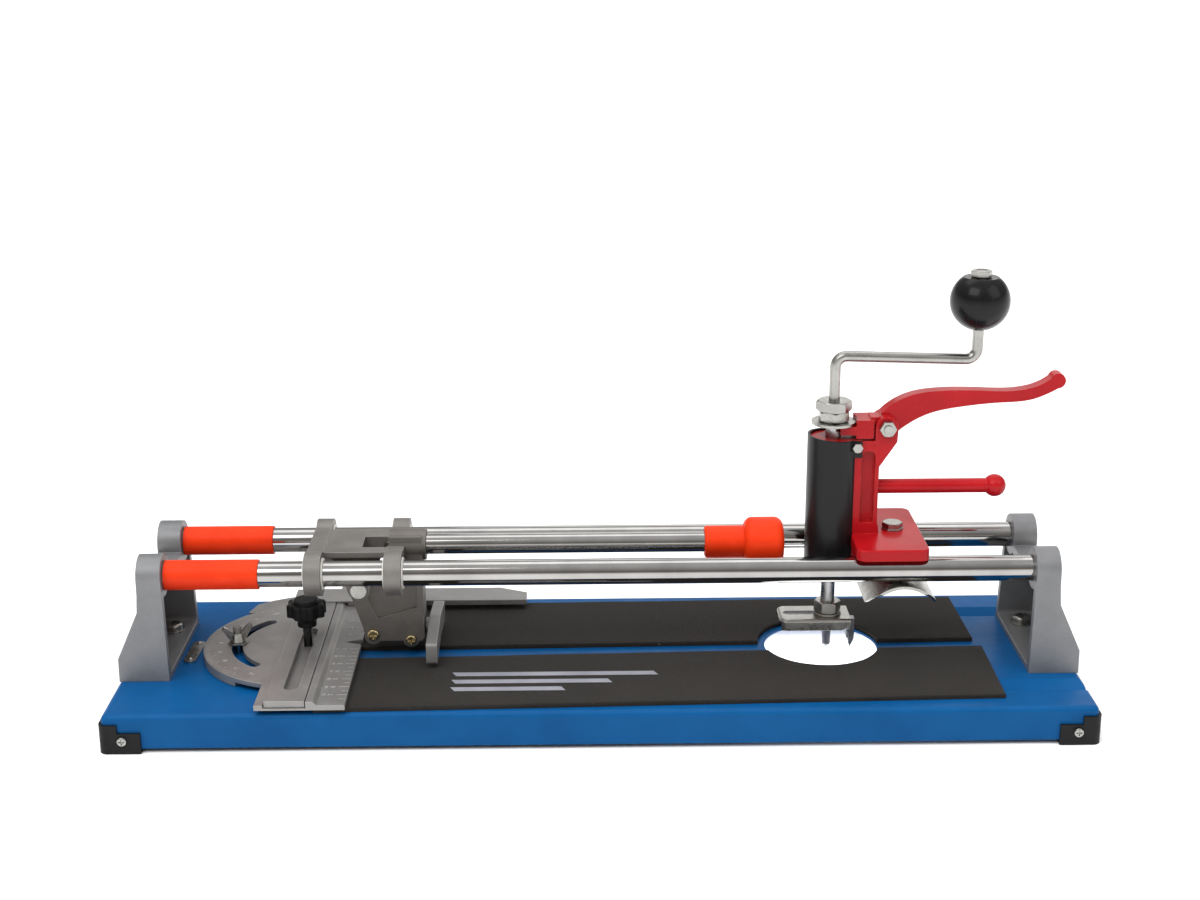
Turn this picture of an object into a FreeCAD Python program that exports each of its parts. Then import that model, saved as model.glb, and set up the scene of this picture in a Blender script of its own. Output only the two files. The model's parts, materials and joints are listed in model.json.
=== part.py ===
import FreeCAD, Part
import math
import os

V = FreeCAD.Vector

# Tile cutter, millimetres. X along the rails, Y away from the user, Z up.
# Origin: middle of the base, on the surface that the feet stand on.

# Driving dimensions
BASE_LENGTH = 520.0
BASE_WIDTH = 160.0
BASE_TOP = 21.0
SHEET = 1.5
FLANGE_BOTTOM = 2.5
RAIL_MID_Y = 4.0
RAIL_HALF_GAP = 27.0
RAIL_Z = 77.0
RAIL_R = 7.0
CUT_Y = 2.0
PAD = 2.5
HOLE_X = 124.5
HOLE_R = 31.5
PIVOT_X = -163.0
LOCK_X = -202.0
HINGE_X = -132.0
HINGE_Z = 62.0
HANDLE_Z = 84.5
SPINDLE_X = 127.5
LEVER_X = 155.5
LEVER_Z = 151.0
BRACKET_INNER_X = 232.5
BRACKET_OUTER_X = 259.5
FRONT_RAIL_Y = RAIL_MID_Y - RAIL_HALF_GAP
REAR_RAIL_Y = RAIL_MID_Y + RAIL_HALF_GAP
BOLT_X = 243.3
BOLT_HALF_Y = 23.5
RUNNING_GAP = 0.05
AIR_GAP = 0.3

AXES = {"x": V(1, 0, 0), "y": V(0, 1, 0), "z": V(0, 0, 1)}


def block(xs, ys, zs):
    """Box between the two limits on each axis."""
    return Part.makeBox(xs[1] - xs[0], ys[1] - ys[0], zs[1] - zs[0], V(xs[0], ys[0], zs[0]))


def rod(radius, start, end):
    """Round bar from one point to another."""
    way = V(*end) - V(*start)
    return Part.makeCylinder(radius, way.Length, V(*start), way)


def rod_z(radius, x, y, low, high):
    return rod(radius, (x, y, low), (x, y, high))


def rod_y(radius, x, z, low, high):
    return rod(radius, (x, low, z), (x, high, z))


def rod_x(radius, y, z, low, high):
    return rod(radius, (low, y, z), (high, y, z))


def prism(points, axis, low, high):
    """Closed outline across an axis, made solid between two places on it."""
    places = {
        "x": lambda a, b: V(low, a, b),
        "y": lambda a, b: V(a, low, b),
        "z": lambda a, b: V(a, b, low),
    }
    corners = [places[axis](a, b) for a, b in points]
    face = Part.Face(Part.makePolygon(corners + corners[:1]))
    return face.extrude(AXES[axis] * (high - low))


def soften(shape, radius, axis=None, where=None):
    """Round the straight edges along an axis, or every edge that a test picks."""
    picked = []
    for edge in shape.Edges:
        if axis is not None:
            if not isinstance(edge.Curve, Part.Line):
                continue
            if abs(edge.Curve.Direction.dot(AXES[axis])) < 0.999:
                continue
        if where is None or where(edge.CenterOfMass):
            picked.append(edge)
    return shape.makeFillet(radius, picked)


def fuse(first, *others):
    return first.fuse(list(others)).removeSplitter()


def cut(first, *others):
    return first.cut(list(others))


def across_flats(flats, height, x, y, z, turn=0.0):
    """Hexagon bar standing on z, with the corners of both ends chamfered at 30 degrees."""
    corner_r = flats / math.sqrt(3)
    turns = [math.radians(60 * k + turn) for k in range(6)]
    points = [(x + corner_r * math.cos(t), y + corner_r * math.sin(t)) for t in turns]
    bar = prism(points, "z", z, z + height)
    flat_r, outer_r = flats * 0.49, corner_r + 0.05
    bevel = (outer_r - flat_r) * math.tan(math.radians(30))
    profile = [V(0, 0, 0), V(flat_r, 0, 0), V(outer_r, 0, bevel), V(outer_r, 0, height - bevel),
               V(flat_r, 0, height), V(0, 0, height)]
    crown = Part.Face(Part.makePolygon(profile + profile[:1])).revolve(V(0, 0, 0), V(0, 0, 1), 360)
    crown.translate(V(x, y, z))
    return bar.common(crown)


def turned(shape, start, way):
    """Shape built along +Z at the origin, turned to another direction and moved."""
    moved = shape.copy()
    turn = FreeCAD.Rotation(V(0, 0, 1), V(*way))
    moved.Placement = FreeCAD.Placement(V(*start), turn)
    return moved


def cross_screw(head_r, head_height, shank_r, length):
    """Cross-head screw along +Z: the head stands on z = 0, the shank goes below it."""
    head = Part.makeCylinder(head_r, head_height)
    head = soften(head, head_height * 0.45, where=lambda p: p.z > head_height - 0.01)
    shank = Part.makeCylinder(shank_r, length, V(0, 0, -length))
    reach = head_r * 0.62
    wide = head_r * 0.14
    depth = head_height * 0.6
    long_slot = block((-reach, reach), (-wide, wide), (head_height - depth, head_height + 1))
    short_slot = block((-wide, wide), (-reach, reach), (head_height - depth, head_height + 1))
    return cut(fuse(head, shank), long_slot, short_slot)


def nut(flats, height, hole_r, x, y, z, turn=0.0):
    return cut(across_flats(flats, height, x, y, z, turn), rod_z(hole_r, x, y, z - 1, z + height + 1))


def washer(outer_r, hole_r, thick, x, y, z):
    return cut(rod_z(outer_r, x, y, z, z + thick), rod_z(hole_r, x, y, z - 1, z + thick + 1))


def save(name, shape):
    shape.exportStep("parts/" + name + ".step")


def save_group(name, shapes):
    save(name, Part.makeCompound(shapes))


# ---------------------------------------------------------------- base

RIB_LEFT_X = -120.0
RIB_NEAR = 44.0
RIB_DEEP = 54.0
RIB_FAR = 59.0
RIB_DEPTH = 4.0
BEND_R = 3.0


def pressed_rib(tray, side):
    """One V rib pressed down into the top sheet, open at the right-hand end."""
    near, deep, far = side * RIB_NEAR, side * RIB_DEEP, side * RIB_FAR
    under = BASE_TOP - SHEET
    skin = prism(
        [(near, under + 0.1), (near, under), (deep, under - RIB_DEPTH), (far, under), (far, under + 0.1)],
        "x", RIB_LEFT_X - SHEET, BASE_LENGTH / 2 - SHEET)
    groove = prism(
        [(near, BASE_TOP + 0.01), (deep, BASE_TOP - RIB_DEPTH), (far, BASE_TOP + 0.01)],
        "x", RIB_LEFT_X, BASE_LENGTH / 2 + 1)
    return tray.fuse(skin).cut(groove)


def base_tray():
    half_l, half_w = BASE_LENGTH / 2, BASE_WIDTH / 2
    outer = block((-half_l, half_l), (-half_w, half_w), (FLANGE_BOTTOM, BASE_TOP))
    outer = soften(outer, BEND_R, "z")
    outer = soften(outer, BEND_R, where=lambda p: p.z > BASE_TOP - 0.01)
    inner = block(
        (-half_l + SHEET, half_l - SHEET),
        (-half_w + SHEET, half_w - SHEET),
        (FLANGE_BOTTOM - 1, BASE_TOP - SHEET))
    inner = soften(inner, BEND_R - SHEET, "z")
    inner = soften(inner, BEND_R - SHEET, where=lambda p: p.z > BASE_TOP - SHEET - 0.01)
    tray = outer.cut(inner)
    tray = pressed_rib(tray, -1)
    tray = pressed_rib(tray, 1)
    holes = [rod_z(HOLE_R, HOLE_X, RAIL_MID_Y, 0, BASE_TOP + 5)]
    for x in (-BOLT_X, BOLT_X):
        for side in (-1, 1):
            holes.append(rod_z(2.8, x, RAIL_MID_Y + side * BOLT_HALF_Y, 10, BASE_TOP + 5))
    for x in (PIVOT_X, LOCK_X):
        holes.append(rod_z(2.6, x, CUT_Y, 10, BASE_TOP + 5))
    for x in (-FOOT_SCREW_X, FOOT_SCREW_X):
        holes.append(rod_y(1.6, x, FOOT_SCREW_Z, -half_w - 5, half_w + 5))
    return cut(tray, *holes)


FOOT_WALL = 1.5
FOOT_LENGTH = 22.0
FOOT_TALL = 10.0
FOOT_TALL_Z = 16.0
FOOT_LOW_Z = 11.5
FOOT_SCREW_X = 249.0
FOOT_SCREW_Z = 7.5


def corner_foot(side_x, side_y):
    """Plastic cap round one corner of the tray, stepped in height."""
    end_x = BASE_LENGTH / 2 + FOOT_WALL
    end_y = BASE_WIDTH / 2 + FOOT_WALL
    near_x, near_y = end_x - FOOT_LENGTH, end_y - FOOT_LENGTH
    foot = block((near_x, end_x), (near_y, end_y), (0, FOOT_TALL_Z))
    foot = soften(foot, BEND_R + FOOT_WALL, "z", lambda p: p.x > end_x - 1 and p.y > end_y - 1)
    tray_space = block((0, BASE_LENGTH / 2), (0, BASE_WIDTH / 2), (FLANGE_BOTTOM, 40))
    tray_space = soften(tray_space, BEND_R, "z", lambda p: p.x > 200 and p.y > 70)
    floor_opening = block((0, end_x - 9.5), (0, end_y - 9.5), (-1, 5))
    step_x = block((0, end_x - FOOT_TALL), (end_y - FOOT_WALL - 1, end_y + 1), (FOOT_LOW_Z, 40))
    step_y = block((end_x - FOOT_WALL - 1, end_x + 1), (0, end_y - FOOT_TALL), (FOOT_LOW_Z, 40))
    screw_hole = rod_y(1.6, FOOT_SCREW_X, FOOT_SCREW_Z, 60, 90)
    foot = cut(foot, tray_space, floor_opening, step_x, step_y, screw_hole)
    if side_x < 0:
        foot = foot.mirror(V(0, 0, 0), V(1, 0, 0))
    if side_y < 0:
        foot = foot.mirror(V(0, 0, 0), V(0, 1, 0))
    return foot


def foot_screws():
    screws = []
    for side_x in (-1, 1):
        for side_y in (-1, 1):
            start = (side_x * FOOT_SCREW_X, side_y * (BASE_WIDTH / 2 + FOOT_WALL), FOOT_SCREW_Z)
            screws.append(turned(cross_screw(2.5, 1.5, 1.45, 6.0), start, (0, side_y, 0)))
    return screws


PAD_LEFT_X = -150.0
PAD_RIGHT_X = 213.0


def front_pad():
    pad = prism([(PAD_LEFT_X, -78.0), (PAD_RIGHT_X, -68.3), (PAD_RIGHT_X + 1, -3.6), (PAD_LEFT_X, -14.0)],
                "z", BASE_TOP, BASE_TOP + PAD)
    return cut(pad, rod_z(HOLE_R + 0.8, HOLE_X, RAIL_MID_Y, 0, 40))


def rear_pad():
    pad = prism([(PAD_LEFT_X, 1.2), (PAD_RIGHT_X - 2, 7.4), (PAD_RIGHT_X - 3, 70.0), (PAD_LEFT_X, 64.0)],
                "z", BASE_TOP, BASE_TOP + PAD)
    cut_out = rod_z(HOLE_R + 1.2, HOLE_X - 2.5, RAIL_MID_Y + 0.5, 0, 40)
    return cut(pad, cut_out, rod_z(HOLE_R + 0.8, HOLE_X, RAIL_MID_Y, 0, 40))


BRACKET_HALF_Y = 41.0
BOSS_R = 11.7
BOSS_INNER_X = 234.5
BOSS_DEPTH = 9.5
BOSS_OUTER_X = 247.1
BRACKET_WALL = 4.5
BRACKET_FOOT = 3.0
SADDLE_Z = 74.0


def bracket_blank():
    """Outer form of the right-hand bracket: side view and end view together."""
    side_view = prism(
        [(BRACKET_INNER_X, BASE_TOP), (BRACKET_OUTER_X, BASE_TOP), (BRACKET_OUTER_X, 34), (247.8, 60),
         (247.2, 70), (247.2, 92), (BOSS_INNER_X, 92)],
        "y", -60, 60)
    low, high = RAIL_MID_Y - BRACKET_HALF_Y, RAIL_MID_Y + BRACKET_HALF_Y
    end_view = prism(
        [(low, BASE_TOP), (high, BASE_TOP), (REAR_RAIL_Y + BOSS_R, RAIL_Z), (REAR_RAIL_Y, RAIL_Z),
         (REAR_RAIL_Y - 9, SADDLE_Z), (FRONT_RAIL_Y + 9, SADDLE_Z), (FRONT_RAIL_Y, RAIL_Z),
         (FRONT_RAIL_Y - BOSS_R, RAIL_Z)],
        "x", 220, 262)
    bosses = [rod_x(BOSS_R, y, RAIL_Z, 220, 262) for y in (FRONT_RAIL_Y, REAR_RAIL_Y)]
    return side_view.common(end_view.fuse(bosses).removeSplitter())


def right_bracket():
    blank = bracket_blank()
    wall = BRACKET_WALL
    low, high = RAIL_MID_Y - BRACKET_HALF_Y + wall, RAIL_MID_Y + BRACKET_HALF_Y - wall
    floor, roof = BASE_TOP + BRACKET_FOOT, SADDLE_Z - wall
    hollow = prism([(low, floor), (high, floor), (high - 1.8, roof), (low + 1.8, roof)],
                   "x", 220, BRACKET_OUTER_X - 3)
    hollow = soften(hollow, 3.0, "x")
    web_side = prism(
        [(219, floor - 1), (BRACKET_OUTER_X - 3, floor - 1), (BRACKET_OUTER_X - 3, 33.5), (244.2, 59),
         (244.2, roof + 1), (219, roof + 1)],
        "y", -60, 60)
    hollow = hollow.common(web_side)
    bosses = [rod_x(BOSS_R, y, RAIL_Z, BOSS_INNER_X, BOSS_OUTER_X) for y in (FRONT_RAIL_Y, REAR_RAIL_Y)]
    bores = [rod_x(RAIL_R, y, RAIL_Z, 220, BOSS_INNER_X + BOSS_DEPTH) for y in (FRONT_RAIL_Y, REAR_RAIL_Y)]
    holes = [rod_z(2.8, BOLT_X, RAIL_MID_Y + s * BOLT_HALF_Y, 10, 40) for s in (-1, 1)]
    bracket = fuse(cut(blank, hollow), *bosses)
    return cut(bracket, *(bores + holes))


def bracket_bolts():
    """Pan-head bolts with a washer under each head and a nut under the tray."""
    bolts, washers, nuts = [], [], []
    top = BASE_TOP + BRACKET_FOOT
    for x in (-BOLT_X, BOLT_X):
        for side in (-1, 1):
            y = RAIL_MID_Y + side * BOLT_HALF_Y
            washers.append(washer(6.2, 2.6, 1.0, x, y, top))
            bolts.append(turned(cross_screw(5.0, 3.6, 2.5, 12.0), (x, y, top + 1.0), (0, 0, 1)))
            nuts.append(nut(8.0, 4.0, 2.5, x, y, BASE_TOP - SHEET - 4.0))
    return bolts, washers, nuts


SLEEVE_R = 8.1
SLEEVE_START_X = -233.6
SLEEVE_END_X = -183.3


def rail(y):
    reach = BOSS_INNER_X + BOSS_DEPTH - 0.5
    bar = rod_x(RAIL_R, y, RAIL_Z, -reach, reach)
    return soften(bar, 0.8, where=lambda p: abs(p.x) > reach - 0.01)


def sleeve(y):
    skin = rod_x(SLEEVE_R, y, RAIL_Z, SLEEVE_START_X, SLEEVE_END_X)
    skin = soften(skin, 0.6, where=lambda p: p.x > SLEEVE_END_X - 0.01)
    return cut(skin, rod_x(RAIL_R, y, RAIL_Z, SLEEVE_START_X - 1, SLEEVE_END_X + 1))


POINTER_X = -226.5
POINTER_HALF = 10.9
POINTER_R = 3.4
POINTER_LEAN = -0.4


def angle_pointer():
    """Long round-ended zinc tab on the tray, with two holes for its rivets."""
    ends = [(POINTER_X - POINTER_LEAN * s, CUT_Y - 1 + POINTER_HALF * s) for s in (-1, 1)]
    low, high = BASE_TOP, BASE_TOP + 1.2
    r = POINTER_R
    discs = [rod_z(r, x, y, low, high) for x, y in ends]
    bar = prism([(ends[0][0] - r, ends[0][1]), (ends[0][0] + r, ends[0][1]),
                 (ends[1][0] + r, ends[1][1]), (ends[1][0] - r, ends[1][1])], "z", low, high)
    tab = fuse(bar, *discs)
    holes = [rod_z(1.2, x, y, 0, 40) for x, y in ends]
    rivets = []
    for x, y in ends:
        above = block((x - 3, x + 3), (y - 3, y + 3), (high, high + 2))
        dome = Part.makeSphere(1.7, V(x, y, high - 0.8)).common(above)
        rivets.append(rod_z(1.2, x, y, BASE_TOP, high).fuse(dome))
    return cut(tab, *holes), rivets


STUD_R = 2.4
UNDER_TOP = BASE_TOP - SHEET


def stud(x, top):
    """Threaded stud through the tray with its head under the sheet."""
    return fuse(rod_z(STUD_R, x, CUT_Y, UNDER_TOP - 4, top), across_flats(8.0, 3.0, x, CUT_Y, UNDER_TOP - 3.0))


# ---------------------------------------------------------------- carriage and head

RING_R = 12.0
BUSH_R = 8.6
LEFT_RING = (-158.5, -149.4)
RIGHT_RING = (-115.7, -106.4)
PLATE_Z = (82.6, 86.0)
STRAP_TOP = 86.8
STRAP_HALF_Y = 20.5
EAR_R = 5.8
SLOT_HALF = 9.0
SLOT_END_X = -129.5
EAR_INNER = 8.3
EAR_OUTER = 12.3
HEAD_HALF = 8.0
PIN_R = 3.0


def rail_rings(xs):
    return [rod_x(RING_R, y, RAIL_Z, xs[0], xs[1]) for y in (FRONT_RAIL_Y, REAR_RAIL_Y)]


def carriage_ear(low, high):
    ear = prism([(-147, 84), (HINGE_X - EAR_R, 61.5), (HINGE_X + EAR_R, 61.5), (-118, 84)], "y", low, high)
    return ear.fuse(rod_y(EAR_R, HINGE_X, HINGE_Z, low, high))


def cutter_carriage():
    """Cast bridge over the two rails, with a slot at the right for the head."""
    inner = 18.5
    plate = block((-150.0, -112.0), (RAIL_MID_Y - inner, RAIL_MID_Y + inner), PLATE_Z)
    levels = (PLATE_Z[0], STRAP_TOP)
    strap = block(LEFT_RING, (RAIL_MID_Y - STRAP_HALF_Y, RAIL_MID_Y + STRAP_HALF_Y), levels)
    arms = [block(RIGHT_RING, (RAIL_MID_Y - STRAP_HALF_Y, CUT_Y - SLOT_HALF), levels),
            block(RIGHT_RING, (CUT_Y + SLOT_HALF, RAIL_MID_Y + STRAP_HALF_Y), levels)]
    ears = [carriage_ear(CUT_Y - EAR_OUTER, CUT_Y - EAR_INNER),
            carriage_ear(CUT_Y + EAR_INNER, CUT_Y + EAR_OUTER)]
    body = fuse(plate, strap, *(arms + ears + rail_rings(LEFT_RING) + rail_rings(RIGHT_RING)))
    slot = block((SLOT_END_X, -100), (CUT_Y - SLOT_HALF + 0.3, CUT_Y + SLOT_HALF - 0.3), (60, 100))
    bores = [rod_x(BUSH_R, y, RAIL_Z, -170, -100) for y in (FRONT_RAIL_Y, REAR_RAIL_Y)]
    pin_hole = rod_y(PIN_R, HINGE_X, HINGE_Z, CUT_Y - 20, CUT_Y + 20)
    return cut(body, slot, pin_hole, *bores)


def rail_bushes():
    bushes = []
    for xs in (LEFT_RING, RIGHT_RING):
        for y in (FRONT_RAIL_Y, REAR_RAIL_Y):
            low, high = xs[0] - 0.8, xs[1] + 0.8
            outer = rod_x(BUSH_R, y, RAIL_Z, low, high)
            bushes.append(cut(outer, rod_x(RAIL_R + RUNNING_GAP, y, RAIL_Z, low - 1, high + 1)))
    return bushes


def head_pin():
    front, rear = CUT_Y - EAR_OUTER, CUT_Y + EAR_OUTER
    pin = rod_y(PIN_R, HINGE_X, HINGE_Z, front - 1, rear + 1)
    caps = [rod_y(4.75, HINGE_X, HINGE_Z, front - 1.7, front), rod_y(4.75, HINGE_X, HINGE_Z, rear, rear + 1.7)]
    caps = [soften(cap, 0.6, where=lambda p: abs(p.y - CUT_Y) > EAR_OUTER + 1.6) for cap in caps]
    return fuse(pin, *caps)


WHEEL_X = -125.5
WHEEL_Z = 34.3
WHEEL_R = 6.2
WHEEL_AXLE_R = 1.9
RIGHT_SCREW_X = -104.5
RIGHT_SCREW_Z = 31.0
FOOT_PIN_Z = 36.5
FOOT_PIN_R = 3.0
TUBE_R = 5.6
SOCKET_END_X = -95.0


def head_outline(low, high):
    body = prism(
        [(-138.6, 60), (-136.2, 55), (-130.5, 37), (-128, 30.3), (-98.5, 30.3), (-97, 32.5), (-97, 91.5),
         (-115, 91.5), (-115, 77), (-124.5, 68.6), (-132, 69)],
        "y", low, high)
    body = body.fuse([
        rod_y(7.0, HINGE_X, HINGE_Z, low, high),
        rod_y(4.6, WHEEL_X, WHEEL_Z - 1.3, low, high),
        rod_y(4.4, RIGHT_SCREW_X, RIGHT_SCREW_Z, low, high)])
    return body.removeSplitter()


def head_panels():
    """Shallow five-sided recess in each face of the head."""
    points = [(-128.1, 56.9), (-119.7, 62.2), (-100.4, 62.2), (-100.8, 50.2), (-122.6, 43.9)]
    depth = 1.6
    front = prism(points, "y", CUT_Y - HEAD_HALF - 1, CUT_Y - HEAD_HALF + depth)
    rear = prism(points, "y", CUT_Y + HEAD_HALF - depth, CUT_Y + HEAD_HALF + 1)
    return [front, rear]


def cutter_head():
    head = head_outline(CUT_Y - HEAD_HALF, CUT_Y + HEAD_HALF)
    socket = rod_x(8.6, CUT_Y, HANDLE_Z, -115, SOCKET_END_X)
    side_limits = block((-150, -90), (CUT_Y - 8.6, CUT_Y + 8.6), (20, 100))
    head = fuse(head, socket.common(side_limits))
    wheel_slot = block((-134.0, -116.5), (CUT_Y - 1.7, CUT_Y + 1.7), (20, 43))
    cuts = [
        wheel_slot,
        rod_x(TUBE_R, CUT_Y, HANDLE_Z, -112, -80),
        rod_y(PIN_R + 0.07, HINGE_X, HINGE_Z, -30, 30),
        rod_y(WHEEL_AXLE_R, WHEEL_X, WHEEL_Z, -30, 30),
        rod_y(WHEEL_AXLE_R, RIGHT_SCREW_X, RIGHT_SCREW_Z, -30, CUT_Y + 6),
        rod_x(FOOT_PIN_R + 0.08, CUT_Y, FOOT_PIN_Z, -108, -90),
    ]
    return cut(head, *(cuts + head_panels()))


def handle_tube():
    return cut(rod_x(TUBE_R, CUT_Y, HANDLE_Z, -111.5, 92), rod_x(TUBE_R - 1.2, CUT_Y, HANDLE_Z, -112, 93))


GRIP_START_X = 58.0
GRIP_STEP_X = 79.6
GRIP_END_X = 101.4
GRIP_NECK_R = 8.8
GRIP_BULB_R = 13.5


def handle_grip():
    """Plastic grip: a plain neck and a barrel-shaped bulb with rounded shoulders."""
    neck = soften(rod_x(GRIP_NECK_R, CUT_Y, HANDLE_Z, GRIP_START_X, GRIP_STEP_X + 3), 1.5,
                  where=lambda p: p.x < GRIP_START_X + 0.01)
    bulb = soften(rod_x(GRIP_BULB_R, CUT_Y, HANDLE_Z, GRIP_STEP_X, GRIP_END_X), 5.0)
    return cut(fuse(neck, bulb), rod_x(TUBE_R, CUT_Y, HANDLE_Z, GRIP_START_X - 1, 92.2))


def head_screws():
    """Wheel axle screw and the screw that holds the breaker foot."""
    face = CUT_Y - HEAD_HALF
    axle = turned(cross_screw(3.3, 1.8, WHEEL_AXLE_R, 15.5), (WHEEL_X, face, WHEEL_Z), (0, -1, 0))
    keeper = turned(cross_screw(3.1, 1.8, WHEEL_AXLE_R, 13.5), (RIGHT_SCREW_X, face, RIGHT_SCREW_Z), (0, -1, 0))
    return axle, keeper


def scoring_wheel():
    """Hardened wheel with a V edge."""
    half, edge = 1.1, 0.15
    profile = [V(WHEEL_AXLE_R + 0.06, -half, 0), V(4.6, -half, 0), V(WHEEL_R, -edge, 0), V(WHEEL_R, edge, 0),
               V(4.6, half, 0), V(WHEEL_AXLE_R + 0.06, half, 0)]
    face = Part.Face(Part.makePolygon(profile + profile[:1]))
    wheel = face.revolve(V(0, 0, 0), V(0, 1, 0), 360)
    wheel.translate(V(WHEEL_X, CUT_Y, WHEEL_Z))
    return wheel


def breaker_foot():
    """Roof-shaped bar across the cut line, with the pin that it rocks on."""
    reach, low, tall, rise = 32.0, 26.2, 12.0, 4.0
    bar = prism(
        [(CUT_Y - reach, low), (CUT_Y, low + rise), (CUT_Y + reach, low), (CUT_Y + reach, low + tall),
         (CUT_Y, low + tall + rise), (CUT_Y - reach, low + tall)],
        "x", -94.5, -88.5)
    bar = soften(bar, 1.5, "x", lambda p: abs(p.y - CUT_Y) > reach - 1)
    collar = rod_x(4.2, CUT_Y, FOOT_PIN_Z, -96.6, -94.0)
    return fuse(bar, collar, rod_x(FOOT_PIN_R, CUT_Y, FOOT_PIN_Z, -107, -93))


# ---------------------------------------------------------------- protractor

PLATE_LOW = BASE_TOP + PAD + 0.3
PLATE_TOP = PLATE_LOW + 2.7
DISC_R = 57.5
RULER_X = (-180.0, -133.0)
RULER_Y = (-81.0, 82.5)
CHANNEL_X = (-175.5, -153.2)
RIDGE_X = (-153.2, -147.0)
CHANNEL_FLOOR = PLATE_LOW + 1.0
ARC_SLOT_R = 39.0
ARC_SLOT_HALF = 3.1
ARC_SLOT_TURN = 50.0


def sector(radius, low_turn, high_turn, low, high, x, y):
    """Slice of a disc between two directions, in degrees about +Z."""
    slice_ = Part.makeCylinder(radius, high - low, V(x, y, low), V(0, 0, 1), high_turn - low_turn)
    slice_.rotate(V(x, y, 0), V(0, 0, 1), low_turn)
    return slice_


def arc_slot():
    low, high = 180 - ARC_SLOT_TURN, 180 + ARC_SLOT_TURN
    outer = sector(ARC_SLOT_R + ARC_SLOT_HALF, low, high, 0, 40, PIVOT_X, CUT_Y)
    inner = rod_z(ARC_SLOT_R - ARC_SLOT_HALF, PIVOT_X, CUT_Y, -1, 41)
    ends = []
    for turn in (low, high):
        angle = math.radians(turn)
        x = PIVOT_X + ARC_SLOT_R * math.cos(angle)
        y = CUT_Y + ARC_SLOT_R * math.sin(angle)
        ends.append(rod_z(ARC_SLOT_HALF, x, y, 0, 40))
    return outer.cut(inner).fuse(ends)


def protractor_ruler():
    """Half disc and ruler in one casting, with the fence channel and the wheel notch."""
    levels = (PLATE_LOW, PLATE_TOP)
    disc = sector(DISC_R, 90, 270, PLATE_LOW, PLATE_TOP, PIVOT_X, CUT_Y)
    web = prism([(-176, 72), (-184, 69), (-192, 65), (-200, 59), (-203.5, 47), (-176, 47)], "z", *levels)
    ruler = prism(
        [(RULER_X[0], RULER_Y[0]), (RULER_X[1], RULER_Y[0]), (RULER_X[1], 43), (-145, 70),
         (-145, RULER_Y[1]), (RULER_X[0], RULER_Y[1])], "z", *levels)
    left, right = RIDGE_X
    ridge = prism([(left, PLATE_TOP - 0.2), (right, PLATE_TOP - 0.2), (right - 2.6, PLATE_TOP + 2.0),
                   (left, PLATE_TOP + 2.0)], "y", *RULER_Y)
    skirt = cut(sector(DISC_R, 125, 235, BASE_TOP + AIR_GAP, PLATE_LOW + 0.1, PIVOT_X, CUT_Y),
                rod_z(DISC_R - 3.0, PIVOT_X, CUT_Y, 0, 40))
    boss = rod_z(8.0, PIVOT_X, CUT_Y, BASE_TOP + AIR_GAP, PLATE_LOW + 0.1)
    body = fuse(disc, web, ruler, ridge, skirt, boss)
    channel = block(CHANNEL_X, (-100, 100), (CHANNEL_FLOOR, 40))
    notch = prism([(-143.5, CUT_Y), (-130, CUT_Y - 4.6), (-130, CUT_Y + 4.6)], "z", 0, 40)
    pivot_hole = rod_z(STUD_R + 0.08, PIVOT_X, CUT_Y, 0, 40)
    return cut(body, channel, notch, pivot_hole, arc_slot())


FENCE_X = (-174.9, -153.8)
FENCE_LOW = CHANNEL_FLOOR + 0.15
FENCE_TOP = FENCE_LOW + 3.6


def slide_fence():
    """Flat L with a long slot in its arm and a cross bar behind the ruler."""
    arm = block(FENCE_X, (-80.0, 74.5), (FENCE_LOW, FENCE_TOP))
    bar_low = PLATE_TOP + 0.15
    front, rear = 55.0, 74.5
    bar = prism([(FENCE_X[0], front), (-42, front), (-42, rear - 8.0), (-58, rear), (FENCE_X[0], rear)],
                "z", bar_low, bar_low + 3.2)
    pillar = block(FENCE_X, (front, rear), (FENCE_LOW, bar_low + 3.2))
    ridge_groove = block((FENCE_X[1], RIDGE_X[1] + 0.2), (front - 1, rear + 1), (bar_low - 1, PLATE_TOP + 2.2))
    slot_half = 4.0
    slot = fuse(block((PIVOT_X - slot_half, PIVOT_X + slot_half), (-62.0, 14.0), (0, 40)),
                rod_z(slot_half, PIVOT_X, -62.0, 0, 40), rod_z(slot_half, PIVOT_X, 14.0, 0, 40))
    return cut(fuse(arm, bar, pillar), slot, ridge_groove)


def star_knob():
    """Eight-lobed clamping knob with a plain hub below."""
    low, high = 43.5, 50.5
    disc = rod_z(9.6, PIVOT_X, CUT_Y, low, high)
    lobes = []
    for k in range(8):
        angle = math.radians(45 * k + 22.5)
        lobes.append(rod_z(2.6, PIVOT_X + 8.5 * math.cos(angle), CUT_Y + 8.5 * math.sin(angle), low, high))
    crown = soften(fuse(disc, *lobes), 1.2, where=lambda p: p.z > high - 0.01)
    cap = soften(rod_z(7.2, PIVOT_X, CUT_Y, high - 0.5, high + 2.2), 1.4, where=lambda p: p.z > high + 2.1)
    cone = Part.makeCone(5.3, 8.2, 4.0, V(PIVOT_X, CUT_Y, low - 3.5))
    hub = rod_z(5.3, PIVOT_X, CUT_Y, 37.0, 41)
    knob = fuse(crown, cap, cone, hub)
    return cut(knob, rod_z(STUD_R + RUNNING_GAP, PIVOT_X, CUT_Y, 30, 46.6))


WING_LOW = PLATE_TOP + 1.6


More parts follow.
